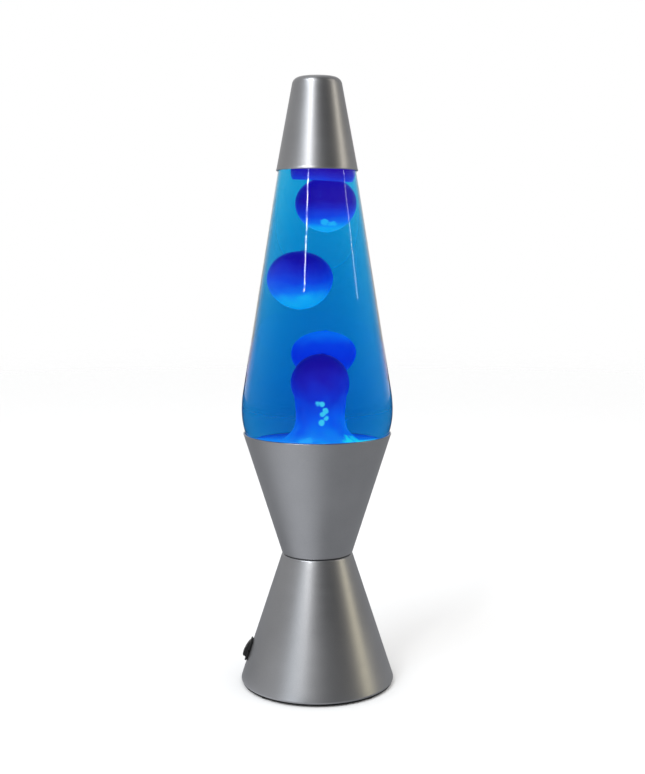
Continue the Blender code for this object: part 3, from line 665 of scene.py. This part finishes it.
def make_lampholder():
    points = outline(
        (13.7, 84.8, 0.6),
        (13.7, 58, 0.4),
        (9.2, 58, 0.3),
        (9.2, 82.8, 0.3),
        (7.8, 82.8, 0.3),
        (7.8, 84.8, 0.5),
        closed=True,
        steps=4,
    )
    thread = helix(13.7, 0.45, 2.5, 66, 84)
    skirt = turned("lampholder_skirt_tube", rows(points, 0.3), 96, thread)
    carry("lampholder_skirt_tube", skirt, BLACK, "base", "lampholder_skirt")
    points = outline(
        (12.6, 57.7, 0.4),
        (12.6, 52, 2.4),
        (7.5, 49, 0.8),
        (7.5, 46, 0.5),
        (5.3, 46, 0.3),
        (5.3, 50.5, 0.2),
        (10.4, 50.5, 0.5),
        (10.4, 57.7, 0.2),
        closed=True,
        steps=5,
    )
    dome = turned("lampholder_base_dome", points, 96)
    hole = turned("hole", [(0, 16), (1.9, 16), (1.9, 0), (0, 0)], 32)
    hole.transform(Matrix.Translation((0, 0, 54 * MM)) @ Matrix.Rotation(-math.pi / 2, 4, "Y"))
    carry("lampholder_base_dome", carve(dome, hole), BLACK, "base", "lampholder_base")
    points = outline((0, 57.7), (10, 57.7, 0.5), (10, 55, 0.5), (0, 55), steps=5)
    core = turned("lampholder_core_disc", points, 96)
    carry("lampholder_core_disc", core, CERAMIC, "base", "lampholder_core")
    leaf = [(-4, 58), (4, 58), (4, 58.4), (1.7, 58.6), (1.5, 60), (-1.5, 60), (-3, 58.5), (-4, 58.4)]
    contact = prism("lampholder_contact_leaf", leaf, -1.5, 1.5, 0.08, 2)
    contact.transform(Matrix.Rotation(math.pi / 2, 4, "X"))
    carry("lampholder_contact_leaf", contact, BRASS, "base", "lampholder_contact")
    shell = threaded("lampholder_shell_thread", 58, 80, 0.5)
    carry("lampholder_shell_thread", shell, BRASS, "base", "lampholder_shell")
    for i, side in enumerate((-1, 1)):
        block = prism("terminal", rectangle(3, 4, 0.3), -1.6, 1.6, 0.2)
        block.transform(Matrix.Translation((side * 6 * MM, 0, 53 * MM)))
        carry(f"holder_terminal_{i + 1}_block", block, BRASS, "base", f"holder_terminal_{i + 1}")
        head = turned("screw", outline((0, 1.5), (1.2, 1.5, 0.3), (1.2, 0), (0, 0), steps=4), 40)
        slot = prism("slot", rectangle(3, 0.45), 0.9, 2)
        head = carve(head, placed(slot, Matrix.Rotation(0.5, 4, "Z")))
        lie = Matrix.Rotation(side * math.pi / 2, 4, "Y")
        head.transform(Matrix.Translation((side * 7.8 * MM, 0, 53 * MM)) @ lie)
        carry(f"terminal_screw_{i + 1}_head", head, STEEL, "base", f"terminal_screw_{i + 1}")


def make_switch():
    seat = on_wall(SWITCH_AZIMUTH, SWITCH_Z)
    bezel = prism("switch_housing_frame", rectangle(14.4, 9.8, 3.2), 0.3, 1.4, 0.5, 4)
    shank = prism("shank", rectangle(12.4, 8, 0.4), -8.65, 0.85)
    body = carve(bezel, shank, "UNION")
    body = carve(body, prism("window", rectangle(11.6, 6.6, 0.4), -3.3, 6))
    pin_hole = turned("hole", [(0, 6), (1.1, 6), (1.1, -6), (0, -6)], 32)
    body = carve(body, placed(pin_hole, Matrix.Rotation(math.pi / 2, 4, "X")))
    add("switch_housing_frame", placed(body, seat), BLACK, "base", "switch_housing")
    for i, side in enumerate((-1, 1)):
        blade = [(-2.4, 0), (2.4, 0), (2.4, -5), (1.4, -6), (-1.4, -6), (-2.4, -5)]
        tab = prism("tab", blade, -0.4, 0.4, 0.12, 2)
        eye = turned("eye", [(0, 2), (0.7, 2), (0.7, -2), (0, -2)], 24)
        tab = carve(tab, placed(eye, Matrix.Translation((0, -3.8 * MM, 0))))
        upright = Matrix(((0, 0, 1, 0), (1, 0, 0, 0), (0, 1, 0, 0), (0, 0, 0, 1)))
        tab.transform(Matrix.Translation((side * 3.4 * MM, 0, -8.95 * MM)) @ upright)
        name = f"switch_terminal_{i + 1}"
        add(name + "_tab", placed(tab, seat), NICKEL, "base", name)
    crown = [Vector((x, 3.3 - 0.024 * x * x)) for x in (4, 3, 2, 1, 0, -1, -2, -3, -4)]
    end = ROCKER_HALF
    ends = [(-end, 2.7, 1.3), (-end, -1.8, 1.0), (end, -1.8, 1.0), (end, 2.7, 1.3)]
    side = outline(*ends, *crown, closed=True)
    rocker = prism("switch_rocker_key", side, -3, 3, 0.6, 4)
    pin = turned("pin", outline((0, 3.7), (0.8, 3.7, 0.2), (0.8, -3.7, 0.2), (0, -3.7)), 24)
    rocker = carve(rocker, pin, "UNION")
    tilt = Matrix.Rotation(math.pi / 2, 4, "X") @ Matrix.Rotation(math.radians(ROCKER_TILT), 4, "Z")
    add("switch_rocker_key", placed(rocker, seat @ tilt), SATIN_BLACK, "rocker", "switch_rocker")
    return seat


def make_gland():
    seat = on_wall(GLAND_AZIMUTH, GLAND_Z)
    flange = [(4, 1.9, 0.6), (6.9, 1.9, 0.7), (6.9, 0.3, 0.1), (5.2, 0.3)]
    points = outline(*flange[1:], (5.2, -5.5, 0.3), (4, -5.5, 0.3), flange[0], closed=True, steps=5)
    barrel = turned("cord_gland_bush", rows(points, 0.2), 64, helix(5.2, 0.3, 1.5, -5.4, 0))
    add("cord_gland_bush", placed(barrel, seat), BLACK, "base", "cord_gland")
    ring = hex_nut("gland_nut_hex", 14, 5.5, -4.4, -1.9)
    add("gland_nut_hex", placed(ring, seat), BLACK, "base", "gland_nut")


def make_lead(seat):
    tip = [v / MM for v in seat @ Vector((3.4 * MM, 0, -15.25 * MM))]
    inwards = seat.to_3x3() @ Vector((0, 0, -1))
    start = Vector(tip)
    route = [start, start + inwards * 2.5, start + inwards * 5.5 + Vector((0, 0, 1.6))]
    route += [(-17.2, -2, 30), (-17.8, -1, 42)]
    route += [(x, 0, z + DATUM_Z) for x, z in ((-16.2, 50), (-13.5, 53.4), (-9.8, 54))]
    lead = wire("holder_lead_sleeve", smooth_route(route, 10), 0.9, 16)
    add("holder_lead_sleeve", lead, INSULATION, "base", "holder_lead")


def make_bulb():
    points = outline((0, 60.9), (2.2, 60.9), (2.2, 60.5), (1.4, 60.2, 0.4), (0, 60.2))
    contact = turned("bulb_contact_dot", points, 48)
    carry("bulb_contact_dot", contact, NICKEL, "bulb_tip", "bulb_contact")
    points = outline((0, 62.9), (5.6, 62.9, 0.2), (2.6, 61.2, 0.2), (0, 61.2))
    insulator = turned("bulb_insulator_bead", points, 64)
    carry("bulb_insulator_bead", insulator, SATIN_BLACK, "bulb_tip", "bulb_insulator")
    shell = threaded("bulb_shell_thread", 63.2, 80.5, -0.4)
    carry("bulb_shell_thread", shell, NICKEL, "bulb", "bulb_shell")
    profile = [(0, 117)] + arc((0, 103), 14, 90, -18, 40)[1:]
    neck = [(13.3, 98.7), (11.5, 94.6), (8.6, 89.9), (6.7, 86.0), (6.2, 82.5), (6.2, 80.8)]
    profile += smooth_profile(neck)
    glass = turned("bulb_glass_pear", walled(profile, 0.8), 96)
    carry("bulb_glass_pear", glass, LAMP_GLASS, "bulb", "bulb_glass")
    stem = outline((0, 94), (1.5, 94, 0.8), (1.5, 86, 4), (4.8, 80.8, 0.3), (0, 80.8))
    carry("bulb_stem_flare", turned("bulb_stem_flare", stem, 48), LAMP_GLASS, "bulb", "bulb_stem")
    for i, side in enumerate((-1, 1)):
        route = ((0.8, 94.3), (1.1, 95.2), (1.9, 96.4), (4, 99.3), (5.7, 101.6), (6.1, 102.1))
        route = smooth_route([(side * x, 0, z) for x, z in route], 6)
        support = wire("bulb_support", route, 0.22, 10)
        carry(f"bulb_support_{i + 1}_wire", support, NICKEL, "bulb", f"bulb_support_{i + 1}")
    coil = []
    turns, steps, span = 34, 12, 5.2
    for i in range(turns * steps + 1):
        share = i / (turns * steps)
        angle = 2 * math.pi * i / steps
        rise = 102 + 1.2 * math.sin(math.pi * share)
        coil.append((span * (2 * share - 1), 0.45 * math.cos(angle), rise + 0.45 * math.sin(angle)))
    filament = wire("bulb_filament_coil", coil, 0.07, 6)
    carry("bulb_filament_coil", filament, TUNGSTEN, "bulb", "bulb_filament")


def globe_outline():
    """The globe's outer face, from its mouth down to the middle of its bottom."""
    bend, lean = math.atan(TAPER), math.atan(CONE_TAPER)
    start = (GLOBE_R - UPPER_BEND_R * (1 - math.cos(bend)), GLOBE_R_Z + UPPER_BEND_R * math.sin(bend))
    shoulder_r = start[0] - TAPER * (SHOULDER_Z - start[1])
    neck = outline(
        (NECK_R - 0.3, MOUTH_Z),
        (NECK_R + 0.6, MOUTH_Z - 0.3, 0.25),
        (NECK_R + 0.6, MOUTH_Z - 3, 0.8),
        (NECK_R, MOUTH_Z - 4.6, 0.8),
        (NECK_R, NECK_Z, 4),
        (shoulder_r, SHOULDER_Z, 7),
        start,
    )
    upper = arc((GLOBE_R - UPPER_BEND_R, GLOBE_R_Z), UPPER_BEND_R, math.degrees(bend), 0, 12)[1:]
    lower = arc((GLOBE_R - LOWER_BEND_R, GLOBE_R_Z), LOWER_BEND_R, 0, -math.degrees(lean), 14)[1:]
    r, z = lower[-1]
    foot_r = r - CONE_TAPER * (z - GLOBE_LOW)
    foot = outline((r, z), (foot_r, GLOBE_LOW, 6), (PUNT_R, GLOBE_LOW, 8), (0, GLOBE_LOW + PUNT))[1:]
    return rows(neck + upper + lower + foot, 4)


def inner_outline(offset):
    """The globe's inner face, this far in from its outer one."""
    outer = globe_outline()
    return walled(outer, offset, rim=False)[len(outer):][::-1]


def make_globe():
    """The bottle, whose inner face hardly reflects as it is wet, with its liquid, seal and crown cap."""
    outer = globe_outline()
    bottle = turned("globe_bottle", walled(outer, GLASS), 160, degrees=60)
    middle = Vector((0, 0, 200 * MM))
    inner = [face.index for face in bottle.polygons if face.normal.dot(face.center - middle) < 0]
    carry("globe_bottle", bottle, GLASS_LOOK, "globe", "globe_glass")
    bottle.materials.append(WET_GLASS)
    for i in inner:
        bottle.polygons[i].material_index = 1
    wall = [p for p in inner_outline(SKIN) if p[1] < LIQUID_TOP]
    edge = wall[0][0]
    surface = [(0, LIQUID_TOP - 0.5), (edge - 2.2, LIQUID_TOP - 0.5), (edge - 0.8, LIQUID_TOP - 0.2)]
    liquid = turned("globe_liquid_fill", surface + [(edge - 0.05, LIQUID_TOP)] + wall, 160, degrees=60)
    carry("globe_liquid_fill", liquid, LIQUID, "globe", "globe_liquid")
    points = outline((0, 342.0), (12.4, 342.0, 0.2), (12.4, 341.3, 0.2), (0, 341.3))
    carry("crown_seal_disc", turned("crown_seal_disc", points, 64), RUBBER, "globe", "crown_seal")
    outer = rows(outline((0, 342.65), (14.9, 342.65, 1.2), (15.9, 336.7)), 0.8)

    def flutes(r, z, angle):
        depth = max(0.0, min(1.0, (341.6 - z) / 3.5)) * 0.42
        return r - depth * (0.5 - 0.5 * math.cos(21 * angle)) if r > 14 else r

    crown = turned("crown_cap_flutes", walled(outer, 0.3), 252, flutes, 50)
    carry("crown_cap_flutes", crown, STEEL, "globe", "crown_cap")


def egg(radius, half, swell, rings=48):
    """A wax blob's outline about its own middle: fuller above it or, under 0, below it."""
    made = []
    for i in range(rings + 1):
        angle = math.pi * i / rings
        r = radius * (1 + swell * math.cos(angle)) * math.sin(angle)
        made.append((max(r, 0) if 0 < i < rings else 0, half * math.cos(angle)))
    return made


def kneaded(mesh, seed, depth, grain):
    """Presses soft hollows into a mesh, so that it is no perfect round."""
    for v in mesh.vertices:
        swell = noise.noise(v.co / MM / grain + Vector((seed, 0, 0)))
        v.co -= v.normal * (0.5 + 0.5 * swell) * depth * MM
    return mesh


# Each blob's centre, radius, half height, how far up its half the painted glow reaches, and the painted
# glow
BLOBS = {
    "lower": ((2.5, 15, 198.8), 13.7, 15.1, 1.0, BACK_PAINTED_GLOW),
    "middle": ((-8.1, 0, 245.2), 15.5, 17.5, 0.9, BLOB_PAINTED_GLOW),
    "upper": ((4, 0, 290), 14.3, 16.4, 0.2, BLOB_PAINTED_GLOW),
}

# Painted light spots on the wax, brighter patches and glints of the bulb's light, as (place, size, colour)
BLOB_PAINTED_SPOTS = {
    "lower": [],
    "middle": [((-6, -12, 233), 9, (0.06, 0.7, 1.1))],
    "upper": [((3.5, -9, 280.5), 5, (0.1, 0.7, 1.1)), ((7.5, -9, 278.5), 4.5, (0.1, 0.7, 1.1))],
}
# Painted light on the pool and column: a row of painted glints up the column's front and two broad painted
# patches of light on the mound
POOL_PAINTED_SPOTS = [
    ((0.4, -26.4, 175), 3.2, (0.35, 0.95, 1.0)),
    ((2.4, -26.4, 174.6), 3.2, (0.35, 0.95, 1.0)),
    ((4.4, -26.4, 171), 3.2, (0.35, 0.95, 1.0)),
    ((3, -26.4, 169), 3.2, (0.35, 0.95, 1.0)),
    ((4.8, -26.4, 167), 3.2, (0.35, 0.95, 1.0)),
    ((2.6, -26.4, 164.8), 3.2, (0.35, 0.95, 1.0)),
    ((24, -25, 156), 19, (0.05, 0.95, 1.0)),
    ((-7, -33, 152), 11, (0.08, 0.5, 1.1)),
]


def make_blobs():
    for i, (name, (centre, radius, half, lit, stops)) in enumerate(BLOBS.items()):
        z = centre[2]
        blob = turned("blob", egg(radius, half, 0.05), 96)
        kneaded(blob, 3.1 * i, 0.7, 14)
        blob.transform(Matrix.Translation(Vector(centre) * MM))
        look = violet_wax(name, z - half, z + half * lit, stops, BLOB_PAINTED_SPOTS[name])
        carry(f"wax_blob_{name}_body", blob, look, "wax_" + name, "wax_blob_" + name)


def make_pool():
    """The wax on the globe's floor, hollow round the wire coil, with the column that rises from it."""
    x, y, middle_z = COLUMN_AT
    head = [(r, z + middle_z) for r, z in egg(COLUMN_R, COLUMN_HALF, 0.0)[:32]]
    foot = [(12.7, 172.4), (12.3, 165.4), (13.8, 160), (17.7, 156.2), (22.5, 152), (25.5, 148.5)]
    side = smooth_profile([head[-1], *foot, (26, 145)])
    rise = turned("rise", head[:-1] + [tuple(p) for p in side] + [(0, 145)], 96)
    kneaded(rise, 9.2, 0.6, 15)
    rise.transform(Matrix.Translation((x * MM, y * MM, 0)))
    wall = [p for p in inner_outline(GLASS + 0.5) if p[1] < POOL_TOP_Z - 1.6]
    surface = [(0.01, POOL_TOP_Z), (10, 155), (24, 154.6), (34, 154.1), (wall[0][0] - 0.5, 154.4)]
    top = [(0, POOL_TOP_Z)] + smooth_profile(surface)[1:]
    channel = [(22.8, -1.6), (22.8, 6.3), (16.2, 6.3), (16.2, -1.1)]
    channel = [(r, FLOOR_Z + z) for r, z in channel]
    bottom = [p for p in wall if p[0] > 23.5] + channel + [(0, FLOOR_Z + 0.1)]
    pool = carve(turned("wax_pool_mound", top + bottom, 128), rise, "UNION")
    look = violet_wax("pool", 152, 201, POOL_PAINTED_GLOW, POOL_PAINTED_SPOTS)
    carry("wax_pool_mound", pool, look, "globe", "wax_pool")


def make_top_wax():
    """The wax that has risen to the globe's top, hollow under its middle."""
    outer = [(0, 321), (9, 320.4), (13.3, 317.5), (14.6, 312.5), (14.6, 307.5), (13.6, 304.2)]
    points = smooth_profile([*outer, (12.2, 305.2), (9, 309), (0, 311)])
    top = turned("wax_top_body", [(0, 321), *points[1:-1], (0, 311)], 96)
    kneaded(top, 5.7, 0.4, 12)
    lean = Matrix.Rotation(math.radians(WAX_TOP_LEAN), 4, "Y")
    top.transform(lean @ Matrix.Translation((0, 0, -WAX_TOP_Z * MM)))
    top.transform(Matrix.Translation((WAX_TOP_X * MM, 0, WAX_TOP_Z * MM)))
    carry("wax_top_body", top, violet_wax("top", 290, 312, BLOB_PAINTED_GLOW), "globe", "wax_top")


def make_coil():
    steps = 14
    count = COIL_TURNS * steps
    z = FLOOR_Z + 3
    points = []
    for i in range(count):
        around, turn = 2 * math.pi * i / count, 2 * math.pi * i / steps
        r = COIL_R + COIL_TURN_R * math.cos(turn)
        points.append((r * math.cos(around), r * math.sin(around), z + COIL_TURN_R * math.sin(turn)))
    coil = wire("wire_coil_spring", points, 0.4, 8, closed=True)
    carry("wire_coil_spring", coil, STEEL, "globe", "wire_coil")


def make_cap():
    r, z = CAP_EDGE_R, CAP_EDGE_Z
    edge = [(r - 0.3, z + 1.5, 1.0), (r + 0.05, z + 0.4, 0.3), (r, z)]
    outer = rows(outline((0, CAP_TOP_Z), (14.1, CAP_TOP_Z, 4.8), *edge), 5)
    carry("cap_skin", turned("cap_skin", walled(outer, SHEET), 160), SILVER, "cap", "cap")


# Stage


def make_stage():
    bm = bmesh.new()
    bmesh.ops.create_circle(bm, cap_ends=True, radius=3.2, segments=96)
    mesh = bpy.data.meshes.new("floor")
    bm.to_mesh(mesh)
    bm.free()
    floor = bpy.data.objects.new("floor", mesh)
    bpy.context.scene.collection.objects.link(floor)
    made, tree, shader, coords = new_look("floor", Roughness=0.7, Specular_IOR_Level=0.1)
    shader.inputs["Base Color"].default_value = (0.93, 0.93, 0.93, 1)
    away = node(tree, "VectorMath", {0: coords}, operation="LENGTH").outputs["Value"]
    tree.links.new(fit(tree, away, 0.7, 2.6, 1, 0, "SMOOTHSTEP"), shader.inputs["Alpha"])
    # Painted reflection: to reflected rays the floor is a glow, brighter to the front left and ten times
    # dimmer in sharp reflections, in place of its lit face
    place = node(tree, "SeparateXYZ", {"Vector": coords}).outputs
    turn = maths(tree, "ARCTAN2", place["X"], maths(tree, "MULTIPLY", place["Y"], -1.0))
    lit = fit(tree, maths(tree, "COSINE", maths(tree, "ADD", turn, 0.75)), 0.5, 1, 0.33, 0.72)
    lit = maths(tree, "MULTIPLY", lit, fit(tree, sharp_ray(tree), 0, 1, 1.0, 0.1))
    painted_floor_glow = node(tree, "Emission", {"Color": (0.93, 0.955, 1.0, 1), "Strength": lit})
    ray = mirrored_ray(tree)
    mixed = node(tree, "MixShader", {0: ray, 1: shader.outputs[0], 2: painted_floor_glow.outputs[0]})
    tree.links.new(mixed.outputs[0], tree.nodes["Material Output"].inputs["Surface"])
    mesh.materials.append(made)


# How bright the room is in satin and in sharp reflections, all round from behind the lamp (0, 1) past
# the camera (0.5)
SATIN_ROOM = [
    (0.0, 0.8),
    (0.07, 0.5),
    (0.2, 0.42),
    (0.36, 0.36),
    (0.46, 0.34),
    (0.53, 0.09),
    (0.65, 0.07),
    (0.73, 0.22),
    (0.93, 0.4),
    (1.0, 0.8),
]
SHARP_ROOM = [
    (0.0, 1.0),
    (0.07, 0.9),
    (0.15, 0.12),
    (0.3, 0.03),
    (0.7, 0.03),
    (0.85, 0.12),
    (0.93, 0.9),
    (1.0, 1.0),
]

# Low windows in the satin room, as (radians to the camera's right, half width, strength, colour)
WINDOWS = [(-0.66, 0.3, 3.0, (0.85, 0.93, 1.0)), (1.44, 0.16, 4.6, (1.0, 0.9, 0.6))]


def level_ramp(tree, value, levels):
    ramp = node(tree, "ValToRGB", {"Fac": value})
    for i, (place, level) in enumerate(levels):
        stop = ramp.color_ramp.elements[i] if i < 2 else ramp.color_ramp.elements.new(place)
        stop.position, stop.color = place, (level, level, level, 1)
    return ramp.outputs["Color"]


def bump(tree, value, middle, width):
    """One where the value is at the middle, falling to nothing a width away."""
    away = maths(tree, "ABSOLUTE", maths(tree, "SUBTRACT", value, middle))
    return fit(tree, away, 0, width, 1, 0)


def tinted(tree, colour, amount, tint):
    """The colour with this much of a tint added to it."""
    more = node(tree, "VectorMath", {0: tint, "Scale": amount}, operation="SCALE")
    both = node(tree, "VectorMath", {0: colour, 1: more.outputs["Vector"]}, operation="ADD")
    return both.outputs["Vector"]


def make_world():
    """White all round, but in reflections a darker room, darkest to the right of the camera."""
    world = bpy.data.worlds.new("studio")
    bpy.context.scene.world = world
    world.use_nodes = True
    tree = world.node_tree
    tree.nodes.clear()
    way = node(tree, "SeparateXYZ", {"Vector": node(tree, "TexCoord").outputs["Generated"]}).outputs
    turn = maths(tree, "ARCTAN2", way["X"], maths(tree, "MULTIPLY", way["Y"], -1.0))
    around = fit(tree, turn, -math.pi, math.pi)
    satin = level_ramp(tree, around, SATIN_ROOM)
    sharp = level_ramp(tree, around, SHARP_ROOM)
    low = bump(tree, way["Z"], 0.12, 0.2)
    for middle, width, strength, colour in WINDOWS:
        window = maths(tree, "MULTIPLY", bump(tree, turn, middle, width), strength)
        satin = tinted(tree, satin, maths(tree, "MULTIPLY", window, low), colour)
    seen = blend(tree, sharp_ray(tree), satin, sharp)
    room = node(tree, "Background", {"Color": seen, "Strength": 1.0})
    white = node(tree, "Background", {"Color": (1, 1, 1, 1), "Strength": 1.0})
    ray = mirrored_ray(tree)
    mixed = node(tree, "MixShader", {0: ray, 1: white.outputs[0], 2: room.outputs[0]})
    tree.links.new(mixed.outputs[0], node(tree, "OutputWorld").inputs["Surface"])


def add_light(name, azimuth, distance, z, size, watts, colour):
    """An area light at this angle to the right of the camera's side, facing the lamp's middle."""
    data = bpy.data.lights.new(name, "AREA")
    data.shape = "RECTANGLE"
    data.size, data.size_y = size
    data.energy, data.color = watts, colour
    light = bpy.data.objects.new(name, data)
    bpy.context.scene.collection.objects.link(light)
    angle = math.radians(azimuth)
    light.location = (distance * math.sin(angle), -distance * math.cos(angle), z)
    light.rotation_euler = (Vector((0, 0, 0.2)) - light.location).to_track_quat("-Z", "Y").to_euler()


def make_lights():
    add_light("key", -25.5, 1.6, 1.35, (0.035, 1.33), 8, (1.0, 1.0, 1.0))
    add_light("fill", -43, 1.3, 1.7, (0.55, 0.7), 9, (0.88, 0.94, 1.0))
    add_light("side", 85, 1.5, 1.1, (0.04, 1.2), 2.2, (1.0, 0.92, 0.8))


def make_camera():
    data = bpy.data.cameras.new("camera")
    data.sensor_fit = "VERTICAL"
    data.sensor_height = 24
    data.lens = LENS
    camera = bpy.data.objects.new("camera", data)
    bpy.context.scene.collection.objects.link(camera)
    camera.location = CAMERA_AT
    camera.rotation_euler = (math.radians(90 - CAMERA_DIP), 0, 0)
    bpy.context.scene.camera = camera


SILVER = silver_lacquer()
BLACK = moulded("black_plastic", (0.006, 0.006, 0.0065), 0.42)
SATIN_BLACK = moulded("satin_black", (0.004, 0.004, 0.0045), 0.28, 0.08)
RUBBER = moulded("black_rubber", (0.016, 0.016, 0.017), 0.75, 0.5, 900)
CERAMIC = moulded("ceramic", (0.78, 0.76, 0.70), 0.25, 0.1, 500)
INSULATION = moulded("wire_insulation", (0.55, 0.55, 0.53), 0.4, 0.1)
BRASS = plated("brass", (0.78, 0.56, 0.25), 0.22)
NICKEL = plated("nickel", (0.70, 0.67, 0.61), 0.2)
STEEL = plated("steel", (0.60, 0.60, 0.61), 0.26)
GLASS_LOOK = clear_glass("clear_glass", 1.0)
WET_GLASS = clear_glass("wet_glass", 0.04)
LAMP_GLASS = lamp_glass()
LIQUID = blue_liquid()
TUNGSTEN = hot_tungsten()

make_camera()
make_stage()
make_world()
make_lights()
make_stand()
make_bottom()
make_clamps()
make_pipe()
make_lampholder()
make_lead(make_switch())
make_gland()
make_bulb()
make_globe()
make_blobs()
make_pool()
make_top_wax()
make_coil()
make_cap()
bpy.context.scene.view_settings.view_transform = "Standard"
